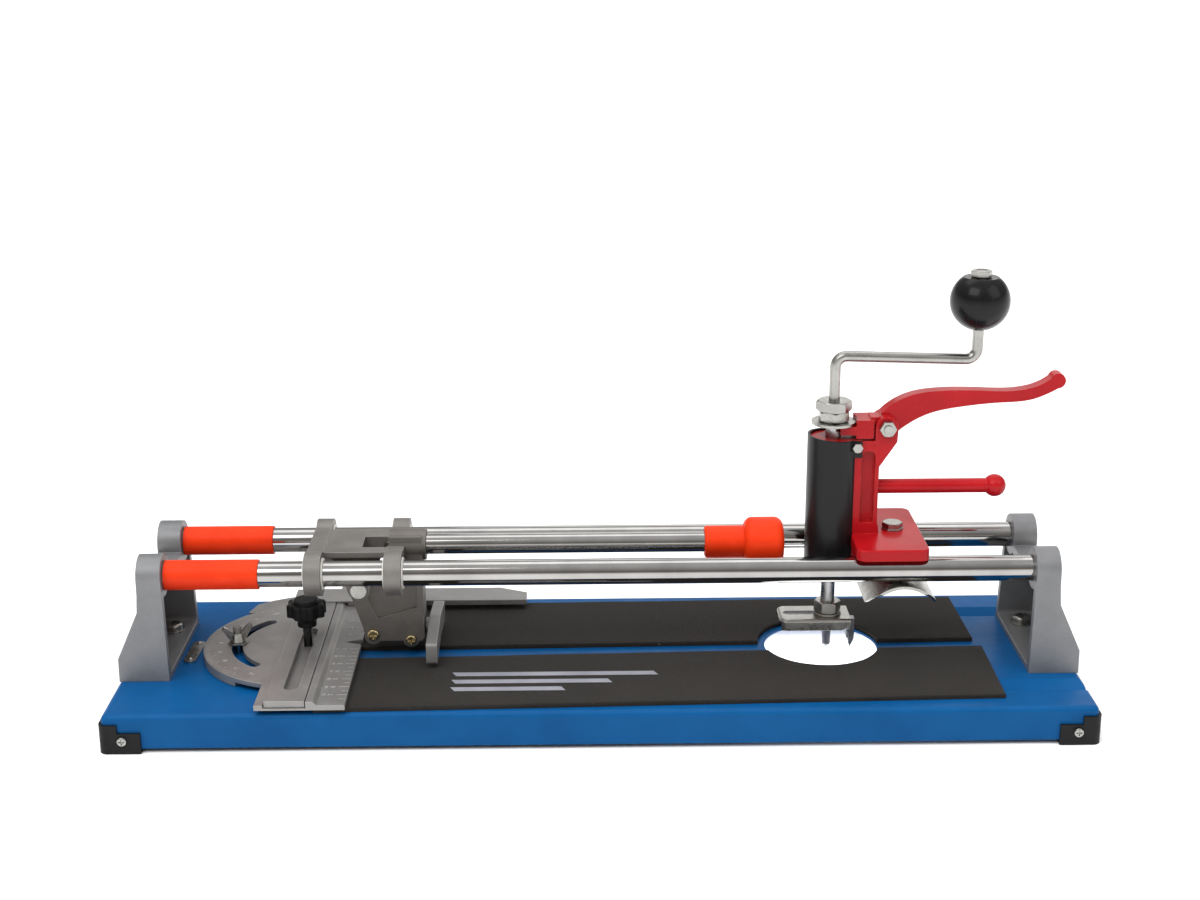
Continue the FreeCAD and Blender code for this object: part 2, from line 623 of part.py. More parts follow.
def wing_nut():
    """Round body with two leaning wings."""
    body = Part.makeCone(4.6, 3.4, 5.0, V(LOCK_X, CUT_Y, WING_LOW))
    wings = []
    for side in (-1, 1):
        outline = [(LOCK_X + side * 2.2, WING_LOW + 1.0), (LOCK_X + side * 4.6, WING_LOW + 1.0),
                   (LOCK_X + side * 8.6, WING_LOW + 7.5), (LOCK_X + side * 7.8, WING_LOW + 9.4),
                   (LOCK_X + side * 5.6, WING_LOW + 8.2), (LOCK_X + side * 2.2, WING_LOW + 4.6)]
        wings.append(prism(outline, "y", CUT_Y - 1.0, CUT_Y + 1.0))
    nut_ = fuse(body, *wings)
    nut_.rotate(V(LOCK_X, CUT_Y, 0), V(0, 0, 1), 28)
    return cut(nut_, rod_z(STUD_R + RUNNING_GAP, LOCK_X, CUT_Y, 0, 60))


# ---------------------------------------------------------------- drill unit

BARREL_R = 12.3
BARREL_Z = (74.0, 144.0)
COVER_IN_R = 12.5
COVER_OUT_R = 13.8
COVER_TOP = 146.0
COVER_TOP_RIGHT = 143.6
COVER_SCREW_X = 139.6
COVER_SCREW_Z = 140.4
FLAP_LOW = 134.5
FLAP_OUT = 1.4
FOOT_PLATE_Z = (RAIL_Z + RAIL_R + AIR_GAP, 90.5)
POST_X = (141.0, 152.0)
POST_HALF = 8.0
CLAMP_BOLT_X = 162.0
CLAMP_NUT_LOW = 61.2
SADDLE_X = 164.0
SPRING_TOP = 138.0
SPRING_LOW = 92.0
SIDE_HANDLE_Z = 115.3
STEM_START_X = 150.2


def drill_bracket():
    """Red casting: foot plate on the rails, hollow barrel, post and lever ears."""
    plate = block((138.0, 177.0), (RAIL_MID_Y - 35.5, RAIL_MID_Y + 35.5), FOOT_PLATE_Z)
    plate = soften(plate, 5.0, "z")
    plate = soften(plate, 1.0, where=lambda p: p.z > FOOT_PLATE_Z[1] - 0.01)
    plate = cut(plate, rod_z(COVER_OUT_R + 0.3, SPINDLE_X, RAIL_MID_Y, 60, 100))
    front, rear = RAIL_MID_Y - POST_HALF, RAIL_MID_Y + POST_HALF
    post = block(POST_X, (front, rear), (FOOT_PLATE_Z[0], 143.4))
    web = block((136.0, 142.0), (front, rear), BARREL_Z)
    flare = prism([(151, 90), (153.2, 90), (152.8, 94), (151, 102)], "y", front, rear)
    barrel = rod_z(BARREL_R, SPINDLE_X, RAIL_MID_Y, *BARREL_Z)
    ears = []
    for low, high in ((front - 0.5, front + 2.7), (rear - 2.7, rear + 0.5)):
        side_view = [(149.4, LEVER_Z), (161.6, LEVER_Z), (161.2, 143), (152, 129), (149.4, 129)]
        ear = prism(side_view, "y", low, high)
        ears.append(ear.fuse(rod_y(6.1, LEVER_X, LEVER_Z, low, high)))
    body = fuse(plate, post, web, flare, barrel, *ears)
    pocket_sides = (front - 2, front + 4)
    pocket = fuse(block((142.3, 149.8), pocket_sides, (97, 134)), rod_y(3.75, 146.05, 134, *pocket_sides))
    pocket_rear = pocket.mirror(V(0, RAIL_MID_Y, 0), V(0, 1, 0))
    bolt_hole = rod_z(3.1, CLAMP_BOLT_X, RAIL_MID_Y, 60, 100)
    bore = rod_z(9.0, SPINDLE_X, RAIL_MID_Y, 60, SPRING_TOP)
    top_hole = rod_z(4.35, SPINDLE_X, RAIL_MID_Y, 100, 160)
    handle_hole = rod_x(4.0, RAIL_MID_Y, SIDE_HANDLE_Z, STEM_START_X, 170)
    pin_hole = rod_y(2.5, LEVER_X, LEVER_Z, -30, 40)
    return cut(body, pocket, pocket_rear, bolt_hole, bore, top_hole, handle_hole, pin_hole)


def barrel_cover():
    """Black tube round the barrel, open towards the post, with two ears at its seam."""
    low, high = BARREL_Z[0], COVER_TOP
    tube = cut(rod_z(COVER_OUT_R, SPINDLE_X, RAIL_MID_Y, low, high),
               rod_z(COVER_IN_R, SPINDLE_X, RAIL_MID_Y, low - 1, high + 1))
    opening = block((SPINDLE_X, 150), (RAIL_MID_Y - POST_HALF - 0.2, RAIL_MID_Y + POST_HALF + 0.2), (60, 160))
    tube = cut(tube, opening)
    flaps, seats = [], []
    for side in (-1, 1):
        inner = RAIL_MID_Y + side * (POST_HALF + 0.2)
        outer = RAIL_MID_Y + side * (POST_HALF + FLAP_OUT)
        beyond = RAIL_MID_Y + side * (COVER_OUT_R + 2)
        flaps.append(block((137.0, 142.3), (min(inner, outer), max(inner, outer)), (FLAP_LOW, high)))
        seats.append(rod_y(3.2, COVER_SCREW_X, COVER_SCREW_Z, min(outer, beyond), max(outer, beyond)))
    holes = rod_y(1.6, COVER_SCREW_X, COVER_SCREW_Z, -30, 40)
    right = SPINDLE_X + 15
    slanted_top = prism([(110, high), (right, COVER_TOP_RIGHT), (right, high + 9), (110, high + 9)], "y", -30, 40)
    return cut(fuse(tube, *flaps), holes, slanted_top, *seats)


def cover_fixings():
    """Small hexagon screw through the cover's flap, on each side of the post."""
    screws = []
    for side in (-1, 1):
        start = (COVER_SCREW_X, RAIL_MID_Y + side * (POST_HALF + FLAP_OUT), COVER_SCREW_Z)
        screw = fuse(across_flats(5.0, 2.4, 0, 0, 0), rod_z(1.5, 0, 0, -FLAP_OUT + 0.2, 1))
        screws.append(turned(screw, start, (0, side, 0)))
    return screws


def clamp_bolt():
    top = FOOT_PLATE_Z[1]
    head = across_flats(10.0, 4.0, CLAMP_BOLT_X, RAIL_MID_Y, top)
    flange = rod_z(5.9, CLAMP_BOLT_X, RAIL_MID_Y, top, top + 1.0)
    return fuse(head, flange, rod_z(3.0, CLAMP_BOLT_X, RAIL_MID_Y, 59.5, top + 2))


def clamp_saddle():
    """Arched strip under both rails, with pointed legs."""
    top = RAIL_Z - RAIL_R - AIR_GAP
    radius = 21.5
    low, high = RAIL_MID_Y - 35.0, RAIL_MID_Y + 33.0
    arch = cut(rod_y(radius, SADDLE_X, top - radius, low, high),
               rod_y(radius - 1.6, SADDLE_X, top - radius, low - 1, high + 1))
    keep = block((SADDLE_X - radius, SADDLE_X + radius), (low, high), (top - 12.8, top + 1))
    saddle = arch.common(keep)
    legs = prism([(low - 1, top - 14), (low - 1, top - 4), (low + 12, top - 14)], "x", 140, 188)
    legs_rear = prism([(high + 1, top - 14), (high + 1, top - 4), (high - 12, top - 14)], "x", 140, 188)
    return cut(saddle, legs, legs_rear, rod_z(3.1, CLAMP_BOLT_X, RAIL_MID_Y, 40, 80))


def side_handle():
    stem = rod_x(4.0, RAIL_MID_Y, SIDE_HANDLE_Z, STEM_START_X + 0.1, 213)
    ball = Part.makeSphere(6.2, V(217.2, RAIL_MID_Y, SIDE_HANDLE_Z))
    return fuse(stem, ball)


def lever_pivot():
    """Bolt through the lever and its ears, with a nut at the front."""
    front = RAIL_MID_Y - POST_HALF - 0.5
    rear = RAIL_MID_Y + POST_HALF + 0.5
    head = turned(across_flats(8.0, 3.2, 0, 0, 0), (LEVER_X, rear, LEVER_Z), (0, 1, 0))
    bolt = fuse(head, rod_y(2.5, LEVER_X, LEVER_Z, front - 5.0, rear + 1))
    nut_ = turned(nut(8.0, 4.0, 2.5, 0, 0, 0), (LEVER_X, front, LEVER_Z), (0, -1, 0))
    return bolt, nut_


LEVER_HALF = 4.0
HUB_HALF = 5.0


def curve_edge(points):
    line = Part.BSplineCurve()
    line.interpolate([V(x, 0, z) for x, z in points])
    return line.toShape()


def squeeze_lever():
    """Curved lever with a round tip, a hub on the pivot and a fork under the washer."""
    upper = [(152.5, 158), (160, 164), (169, 168), (181, 170), (205, 170.2), (228, 170.4), (236, 172.4),
             (243.2, 176.4)]
    lower = [(250.2, 172.8), (242.3, 168.3), (233.5, 165.0), (217, 163.4), (195, 161.2), (178, 157.4),
             (168.5, 152.6), (160, 146)]
    edges = [curve_edge(upper), Part.makeLine(V(243.2, 0, 176.4), V(250.2, 0, 172.8)), curve_edge(lower),
             Part.makeLine(V(160, 0, 146), V(152.5, 0, 158))]
    face = Part.Face(Part.Wire(edges))
    arm = face.extrude(V(0, 2 * LEVER_HALF, 0))
    arm.translate(V(0, RAIL_MID_Y - LEVER_HALF, 0))
    front, rear = RAIL_MID_Y - LEVER_HALF, RAIL_MID_Y + LEVER_HALF
    tip = rod_y(4.1, 247.3, 175.2, front, rear)
    hub_sides = (RAIL_MID_Y - HUB_HALF, RAIL_MID_Y + HUB_HALF)
    hub = rod_y(6.0, LEVER_X, LEVER_Z, *hub_sides)
    neck = block((147, LEVER_X), hub_sides, (145.2, 156))
    block_ = block((139.0, 148.4), (RAIL_MID_Y - 8, RAIL_MID_Y + 8), (144.7, 155.0))
    levels = (146.8, LIFT_WASHER_Z - 0.4)
    prongs = [block((130.5, 140), (RAIL_MID_Y + 4.7, RAIL_MID_Y + 8), levels),
              block((130.5, 140), (RAIL_MID_Y - 8, RAIL_MID_Y - 4.7), levels)]
    washer_space = rod_z(12.6, SPINDLE_X, RAIL_MID_Y, LIFT_WASHER_Z - 0.3, 170)
    lever = cut(fuse(arm, tip, hub, neck, block_, *prongs), washer_space)
    return cut(lever, rod_y(2.57, LEVER_X, LEVER_Z, -30, 40))


SPINDLE_R = 3.9
COLLAR_R = 4.2
LIFT_WASHER_Z = 151.6
BIT_PIN_R = 2.5
BIT_TOP = 33.0
ARM_TOP = 41.0
NUT_LOW = 153.3
NUT_MID = 158.9
SPINDLE_TOP = 164.6


def spindle():
    lower = rod_z(SPINDLE_R, SPINDLE_X, RAIL_MID_Y, ARM_TOP + 0.1, 120)
    pin = rod_z(BIT_PIN_R, SPINDLE_X, RAIL_MID_Y, BIT_TOP, ARM_TOP + 1)
    upper = rod_z(COLLAR_R, SPINDLE_X, RAIL_MID_Y, 118, SPINDLE_TOP)
    stop = rod_z(8.4, SPINDLE_X, RAIL_MID_Y, 87.5, SPRING_LOW)
    shaft = fuse(lower, pin, upper, stop)
    return cut(shaft, rod_z(3.0, SPINDLE_X, RAIL_MID_Y, 158, 170))


def return_spring():
    """Closed sleeve that stands for the coil between the stop and the barrel's top."""
    return cut(rod_z(8.0, SPINDLE_X, RAIL_MID_Y, SPRING_LOW + 0.1, SPRING_TOP),
               rod_z(5.4, SPINDLE_X, RAIL_MID_Y, SPRING_LOW - 1, SPRING_TOP + 1))


def lower_bush():
    return cut(rod_z(9.0, SPINDLE_X, RAIL_MID_Y, BARREL_Z[0], BARREL_Z[0] + 7),
               rod_z(SPINDLE_R + 0.07, SPINDLE_X, RAIL_MID_Y, 60, 100))


def bent_rod(points, radius, bend):
    """Round rod through the points, with each corner bent to a radius."""
    pts = [V(*p) for p in points]
    edges = []
    start = pts[0]
    for before, corner, after in zip(pts, pts[1:], pts[2:]):
        a = (before - corner).normalize()
        b = (after - corner).normalize()
        half = a.getAngle(b) / 2
        back = bend / math.tan(half)
        first, last = corner + a * back, corner + b * back
        centre = corner + (a + b).normalize() * (bend / math.sin(half))
        middle = centre + (corner - centre).normalize() * bend
        edges.append(Part.makeLine(start, first))
        edges.append(Part.Arc(first, middle, last).toShape())
        start = last
    edges.append(Part.makeLine(start, pts[-1]))
    path = Part.Wire(edges)
    ring = Part.Wire([Part.makeCircle(radius, pts[0], pts[1] - pts[0])])
    return path.makePipeShell([ring], True, True)


CRANK_END_X = 203.4
BALL_Z = 218.7
BALL_R = 16.0


def crank():
    y = RAIL_MID_Y
    points = [(SPINDLE_X, y, 158), (SPINDLE_X, y, 189.0), (CRANK_END_X, y, 186.6), (CRANK_END_X, y, 235.0)]
    return bent_rod(points, 3.0, 6.0)


def ball_knob():
    ball = Part.makeSphere(BALL_R, V(CRANK_END_X, RAIL_MID_Y, BALL_Z))
    flat = block((150, 250), (-50, 50), (BALL_Z + 13.0, 260))
    base = block((150, 250), (-50, 50), (180, BALL_Z - 15.2))
    return cut(ball, flat, base, rod_z(3.08, CRANK_END_X, RAIL_MID_Y, 190, 240))


ARM_SHEET = 1.6
ARM_X = (100.3, 139.6)
ARM_HALF_Y = 11.0


def cutter_arm():
    """Folded zinc channel with an adjusting slot and a tab that holds the tooth."""
    low, high = RAIL_MID_Y - ARM_HALF_Y, RAIL_MID_Y + ARM_HALF_Y
    channel = block(ARM_X, (low, high), (ARM_TOP - 6.5, ARM_TOP))
    channel = soften(channel, 4.0, "z", lambda p: p.x < ARM_X[0] + 0.1)
    channel = soften(channel, 1.6, "x", lambda p: p.z > ARM_TOP - 0.1)
    inside = block((ARM_X[0] - 1, ARM_X[1] - ARM_SHEET), (low + ARM_SHEET, high - ARM_SHEET),
                   (20, ARM_TOP - ARM_SHEET))
    chamfers = [prism([(134, ARM_TOP - 7), (142, ARM_TOP - 7), (142, ARM_TOP - 2)], "y", low - 1, low + 1.7),
                prism([(134, ARM_TOP - 7), (142, ARM_TOP - 7), (142, ARM_TOP - 2)], "y", high - 1.7, high + 1)]
    tab = block((ARM_X[1] - ARM_SHEET, ARM_X[1]), (RAIL_MID_Y - 6, RAIL_MID_Y + 6), (28.0, ARM_TOP - 1))
    slot_half = BIT_PIN_R + 0.1
    start = 105.5
    slot = fuse(block((start, SPINDLE_X), (RAIL_MID_Y - slot_half, RAIL_MID_Y + slot_half), (30, 50)),
                rod_z(slot_half, start, RAIL_MID_Y, 30, 50), rod_z(slot_half, SPINDLE_X, RAIL_MID_Y, 30, 50))
    arm = cut(fuse(channel, tab), inside)
    return cut(fuse(arm, tab), slot, *chamfers)


def cutter_tooth():
    """Hard bit on the arm's tab, ground to a point."""
    x = ARM_X[1]
    return prism([(x, 38.0), (x + 3.2, 38.0), (x + 3.2, 26.0), (x + 1.0, 21.0), (x, 24.0)],
                 "y", RAIL_MID_Y - 2.5, RAIL_MID_Y + 2.5)


def drill_bit():
    shank = rod_z(2.4, SPINDLE_X, RAIL_MID_Y, 22.5, BIT_TOP)
    tip = Part.makeCone(0.2, 2.4, 2.5, V(SPINDLE_X, RAIL_MID_Y, 20.0))
    return fuse(shank, tip)


def save_base():
    save("base_tray", base_tray())
    for name, side_x, side_y in (("front_left", -1, -1), ("front_right", 1, -1),
                                 ("rear_left", -1, 1), ("rear_right", 1, 1)):
        save(name + "_foot", corner_foot(side_x, side_y))
    save_group("foot_screws", foot_screws())
    save("front_pad", front_pad())
    save("rear_pad", rear_pad())
    bracket = right_bracket()
    save("right_bracket", bracket)
    save("left_bracket", bracket.mirror(V(0, 0, 0), V(1, 0, 0)))
    bolts, washers, nuts = bracket_bolts()
    save_group("bracket_bolts", bolts)
    save_group("bracket_washers", washers)
    save_group("bracket_nuts", nuts)
    for name, y in (("front", FRONT_RAIL_Y), ("rear", REAR_RAIL_Y)):
        save(name + "_rail", rail(y))
        save(name + "_sleeve", sleeve(y))
    tab, rivets = angle_pointer()
    save("angle_pointer", tab)
    save_group("pointer_rivets", rivets)
    save("pivot_stud", stud(PIVOT_X, 46.0))
    save("lock_stud", stud(LOCK_X, 36.5))


def save_carriage():
    save("cutter_carriage", cutter_carriage())
    save_group("rail_bushes", rail_bushes())
    save("head_pin", head_pin())
    save("cutter_head", cutter_head())
    save("handle_tube", handle_tube())
    save("handle_grip", handle_grip())
    axle, keeper = head_screws()
    save("wheel_screw", axle)
    save("foot_pin_screw", keeper)
    save("scoring_wheel", scoring_wheel())
    save("breaker_foot", breaker_foot())


def save_protractor():
    save("protractor_ruler", protractor_ruler())
    save("slide_fence", slide_fence())
    save("star_knob", star_knob())
    save("wing_nut", wing_nut())
    save("wing_washer", washer(5.6, STUD_R + 0.1, 1.1, LOCK_X, CUT_Y, PLATE_TOP + AIR_GAP))


def save_drill():
    save("drill_bracket", drill_bracket())
    save("barrel_cover", barrel_cover())
    save_group("cover_screws", cover_fixings())
    save("clamp_bolt", clamp_bolt())
    save("clamp_saddle", clamp_saddle())
    save("clamp_nut", nut(10.0, 5.0, 3.0, CLAMP_BOLT_X, RAIL_MID_Y, CLAMP_NUT_LOW))
    save("side_handle", side_handle())
    bolt, nut_ = lever_pivot()
    save("lever_pivot_bolt", bolt)
    save("lever_pivot_nut", nut_)
    save("lower_bush", lower_bush())
    save("return_spring", return_spring())
    save("squeeze_lever", squeeze_lever())
    save("lift_washer", washer(12.0, COLLAR_R + 0.08, 1.5, SPINDLE_X, RAIL_MID_Y, LIFT_WASHER_Z))


def save_spindle():
    save("spindle", spindle())
    save_group("spindle_nuts", [nut(15.5, NUT_MID - NUT_LOW, COLLAR_R, SPINDLE_X, RAIL_MID_Y, NUT_LOW, 30),
                                nut(17.2, SPINDLE_TOP - NUT_MID, COLLAR_R, SPINDLE_X, RAIL_MID_Y, NUT_MID)])
    save("crank", crank())
    save("knob_nut", nut(10.0, 3.4, 3.0, CRANK_END_X, RAIL_MID_Y, BALL_Z + 13.2))
    save("ball_knob", ball_knob())
    save_group("arm_nuts", [nut(13.0, 6.3, SPINDLE_R, SPINDLE_X, RAIL_MID_Y, ARM_TOP + 1.3),
                            nut(8.0, 3.6, BIT_PIN_R, SPINDLE_X, RAIL_MID_Y, ARM_TOP - ARM_SHEET - 3.7)])
    save("arm_washer", washer(7.8, SPINDLE_R, 1.2, SPINDLE_X, RAIL_MID_Y, ARM_TOP + 0.1))
    save("drill_bit", drill_bit())
    save("cutter_arm", cutter_arm())
    save("cutter_tooth", cutter_tooth())


os.makedirs("parts", exist_ok=True)
save_base()
save_carriage()
save_protractor()
save_drill()
save_spindle()
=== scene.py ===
import json
import math

import bmesh
import bpy
from mathutils import Matrix, Vector
from mathutils import noise as field


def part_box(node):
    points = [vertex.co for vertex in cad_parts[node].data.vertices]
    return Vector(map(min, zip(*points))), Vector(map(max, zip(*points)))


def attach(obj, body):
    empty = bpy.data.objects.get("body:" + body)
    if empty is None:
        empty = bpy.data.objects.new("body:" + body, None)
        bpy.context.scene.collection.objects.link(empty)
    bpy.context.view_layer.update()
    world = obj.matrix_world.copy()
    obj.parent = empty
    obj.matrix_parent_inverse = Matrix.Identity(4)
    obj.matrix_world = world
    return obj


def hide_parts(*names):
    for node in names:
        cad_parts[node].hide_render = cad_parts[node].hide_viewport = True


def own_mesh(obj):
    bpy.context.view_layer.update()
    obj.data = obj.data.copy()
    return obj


# Tile cutter: materials, foam, markings and studio round the CAD frame. Metres.

MM = 0.001
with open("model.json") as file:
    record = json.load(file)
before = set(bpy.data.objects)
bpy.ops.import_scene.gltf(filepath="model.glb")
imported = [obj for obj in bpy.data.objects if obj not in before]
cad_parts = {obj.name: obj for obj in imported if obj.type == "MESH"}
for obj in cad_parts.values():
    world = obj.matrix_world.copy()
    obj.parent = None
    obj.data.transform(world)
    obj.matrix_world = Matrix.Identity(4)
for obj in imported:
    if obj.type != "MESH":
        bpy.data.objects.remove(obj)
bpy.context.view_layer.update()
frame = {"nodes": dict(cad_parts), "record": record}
NODES = frame["nodes"]

PLATE_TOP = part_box("wing_washer")[0].z - 0.3 * MM
PIVOT = (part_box("pivot_stud")[0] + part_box("pivot_stud")[1]) / 2
LOCK = (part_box("lock_stud")[0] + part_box("lock_stud")[1]) / 2
RULER_LOW, RULER_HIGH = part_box("protractor_ruler")
WASTE_HOLE = (124.5 * MM, 4.0 * MM)  # middle of the round hole in the base plate
SMOOTH_BELOW = math.radians(38)


# ------------------------------------------------------------------ materials

class Surface:
    """One procedural material, built up a layer at a time."""

    def __init__(self, name, metallic=0.0, roughness=0.5, **sockets):
        self.mat = bpy.data.materials.new(name)
        self.mat.use_nodes = True
        self.tree = self.mat.node_tree
        self.shader = self.tree.nodes["Principled BSDF"]
        self.shader.inputs["Metallic"].default_value = metallic
        self.shader.inputs["Roughness"].default_value = roughness
        for key, value in sockets.items():
            self.shader.inputs[key.replace("_", " ")].default_value = value
        self.place = self.node("ShaderNodeTexCoord").outputs["Object"]
        self.normal = None

    def node(self, kind, **settings):
        made = self.tree.nodes.new(kind)
        for key, value in settings.items():
            setattr(made, key, value)
        return made

    def link(self, start, end):
        self.tree.links.new(start, end)

    def spread(self, stretch):
        """Coordinates scaled by a factor on each axis."""
        mapping = self.node("ShaderNodeMapping")
        mapping.inputs["Scale"].default_value = stretch
        self.link(self.place, mapping.inputs["Vector"])
        return mapping.outputs["Vector"]

    def noise(self, scale, detail=4.0, stretch=(1, 1, 1), rough=0.55):
        made = self.node("ShaderNodeTexNoise")
        made.inputs["Scale"].default_value = scale
        made.inputs["Detail"].default_value = detail
        made.inputs["Roughness"].default_value = rough
        self.link(self.spread(stretch), made.inputs["Vector"])
        return made.outputs["Fac"]

    def cells(self, scale, stretch=(1, 1, 1), feature="F1"):
        made = self.node("ShaderNodeTexVoronoi", feature=feature)
        made.inputs["Scale"].default_value = scale
        self.link(self.spread(stretch), made.inputs["Vector"])
        return made

    def ramp(self, value, stops):
        made = self.node("ShaderNodeValToRGB")
        elements = made.color_ramp.elements
        while len(elements) < len(stops):
            elements.new(0.5)
        for element, (at, colour) in zip(elements, stops):
            element.position = at
            element.color = (*colour, 1.0)
        self.link(value, made.inputs["Fac"])
        return made.outputs["Color"]

    def remap(self, value, low, high, start=0.3, stop=0.7):
        made = self.node("ShaderNodeMapRange")
        made.inputs["From Min"].default_value = start
        made.inputs["From Max"].default_value = stop
        made.inputs["To Min"].default_value = low
        made.inputs["To Max"].default_value = high
        self.link(value, made.inputs["Value"])
        return made.outputs["Result"]

    def blend(self, factor, first, second, mode="MIX"):
        made = self.node("ShaderNodeMix", data_type="RGBA", blend_type=mode)
        for socket, value in ((made.inputs[0], factor), (made.inputs[6], first), (made.inputs[7], second)):
            if isinstance(value, (tuple, float)):
                socket.default_value = (*value, 1.0) if isinstance(value, tuple) else value
            else:
                self.link(value, socket)
        return made.outputs[2]

    def edges(self, radius, low=0.90, high=0.995):
        """1 on sharp outer edges, 0 on flat faces."""
        bevel = self.node("ShaderNodeBevel", samples=6)
        bevel.inputs["Radius"].default_value = radius
        plain = self.node("ShaderNodeNewGeometry")
        dot = self.node("ShaderNodeVectorMath", operation="DOT_PRODUCT")
        self.link(bevel.outputs["Normal"], dot.inputs[0])
        self.link(plain.outputs["Normal"], dot.inputs[1])
        self.normal = bevel.outputs["Normal"]
        return self.remap(dot.outputs["Value"], 1.0, 0.0, low, high)

    def bump(self, height, depth, strength=0.5):
        made = self.node("ShaderNodeBump")
        made.inputs["Strength"].default_value = strength
        made.inputs["Distance"].default_value = depth
        self.link(height, made.inputs["Height"])
        if self.normal is not None:
            self.link(self.normal, made.inputs["Normal"])
        self.normal = made.outputs["Normal"]

    def finish(self, colour=None, rough=None):
        if colour is not None:
            self.link(colour, self.shader.inputs["Base Color"])
        if rough is not None:
            self.link(rough, self.shader.inputs["Roughness"])
        if self.normal is not None:
            self.link(self.normal, self.shader.inputs["Normal"])
        return self.mat


def painted(name, deep, bright, wear_and_highlight, coat, rough, peel, specular=0.3):
    """Sprayed or powder-coated metal: orange peel, faint tone changes, and lighter edges that are partly paint
    worn thin and partly a painted highlight.
    """
    s = Surface(name, Coat_Weight=coat, Coat_Roughness=0.12, Specular_IOR_Level=specular)
    tone = s.ramp(s.noise(28.0, 5.0), [(0.3, deep), (0.7, bright)])
    edge = s.edges(0.7 * MM)
    thin = s.remap(s.noise(420.0, 6.0), 0.0, 1.0, 0.42, 0.62)
    edge_wear_and_highlight = s.node("ShaderNodeMath", operation="MULTIPLY")
    s.link(edge, edge_wear_and_highlight.inputs[0])
    s.link(thin, edge_wear_and_highlight.inputs[1])
    # Lighter colour along sharp edges: partly paint worn thin, partly a painted highlight.
    colour = s.blend(edge_wear_and_highlight.outputs[0], tone, wear_and_highlight)
    s.bump(s.noise(peel, 2.0), 0.12 * MM, 0.22)
    s.bump(s.noise(2600.0, 2.0), 0.03 * MM, 0.2)
    return s.finish(colour, s.remap(s.noise(70.0, 6.0), rough[0], rough[1]))


def casting(name, deep, bright, wear_and_highlight, metallic, rough, grain=900.0, depth=0.12):
    """Die-cast metal: fine sandy skin, broad flow marks, and bright edges that are partly rubbed wear and partly
    a painted highlight.
    """
    s = Surface(name, metallic=metallic)
    flow = s.noise(60.0, 6.0, rough=0.65)
    speck = s.noise(1900.0, 3.0)
    tone = s.ramp(flow, [(0.3, deep), (0.72, bright)])
    tone = s.blend(0.25, tone, s.ramp(speck, [(0.35, deep), (0.65, bright)]))
    edge = s.edges(0.8 * MM)
    # Bright colour along sharp edges: partly rubbed wear, partly a painted highlight.
    colour = s.blend(s.remap(edge, 0.0, 0.55, 0.1, 1.0), tone, wear_and_highlight)
    s.bump(s.noise(grain, 4.0), depth * MM, 0.4)
    s.bump(s.noise(130.0, 3.0), 0.25 * MM, 0.12)
    return s.finish(colour, s.remap(flow, rough[0], rough[1]))


def plated(name, deep, bright, rough, spangle=240.0):
    """Zinc or nickel plate: soft crystals, hazy patches and hairline scratches."""
    s = Surface(name, metallic=1.0)
    crystal = s.cells(spangle)
    tone = s.ramp(crystal.outputs["Color"], [(0.1, deep), (0.9, bright)])
    tone = s.blend(0.45, tone, s.ramp(s.noise(90.0, 5.0), [(0.3, deep), (0.7, bright)]))
    s.edges(0.35 * MM)
    s.bump(s.noise(700.0, 3.0, stretch=(1.0, 1.0, 7.0)), 0.02 * MM, 0.12)
    return s.finish(tone, s.remap(s.noise(150.0, 6.0), rough[0], rough[1]))


def chrome(name, stretch):
    """Polished chrome tube with faint draw lines along its length and handling haze."""
    s = Surface(name, metallic=1.0)
    haze = s.noise(35.0, 6.0)
    tone = s.ramp(haze, [(0.3, (0.36, 0.352, 0.34)), (0.7, (0.48, 0.47, 0.452))])
    line = s.noise(900.0, 3.0, stretch=stretch)
    s.bump(line, 0.02 * MM, 0.10)
    return s.finish(tone, s.remap(haze, 0.05, 0.12))


def moulded(name, deep, bright, rough, grain, depth, coat=0.0, subsurface=0.0, edge=0.5):
    """Moulded plastic: fine spark-eroded grain and slight colour drift."""
    s = Surface(name, Coat_Weight=coat, Coat_Roughness=0.08, Subsurface_Weight=subsurface,
                Subsurface_Scale=1.5 * MM, Specular_IOR_Level=0.18)
    tone = s.ramp(s.noise(45.0, 5.0), [(0.3, deep), (0.7, bright)])
    s.edges(edge * MM)
    s.bump(s.noise(grain, 3.0), depth * MM, 0.3)
    s.bump(s.noise(160.0, 2.0), 0.08 * MM, 0.08)
    return s.finish(tone, s.remap(s.noise(120.0, 5.0), rough[0], rough[1]))


def foam(name):
    """Closed-cell foam: skinned-over pores, dusty lint and darker scuffs."""
    s = Surface(name, Sheen_Weight=0.04, Sheen_Roughness=0.6, Specular_IOR_Level=0.12)
    pores = s.cells(1500.0)
    small = s.noise(3200.0, 2.0)
    patch = s.noise(22.0, 6.0, rough=0.65)
    tone = s.ramp(patch, [(0.28, (0.012, 0.0105, 0.009)), (0.72, (0.024, 0.0215, 0.019))])
    tone = s.blend(0.35, tone, s.ramp(small, [(0.4, (0.010, 0.009, 0.008)), (0.68, (0.042, 0.038, 0.034))]))
    fibres = s.noise(520.0, 2.0, stretch=(1.0, 5.0, 1.0))
    lint = s.ramp(fibres, [(0.70, (0.0, 0.0, 0.0)), (0.80, (0.06, 0.06, 0.06))])
    tone = s.blend(1.0, tone, lint, "ADD")
    s.bump(pores.outputs["Distance"], 0.25 * MM, 0.45)
    s.bump(patch, 0.3 * MM, 0.2)
    return s.finish(tone, s.remap(patch, 0.78, 0.95))


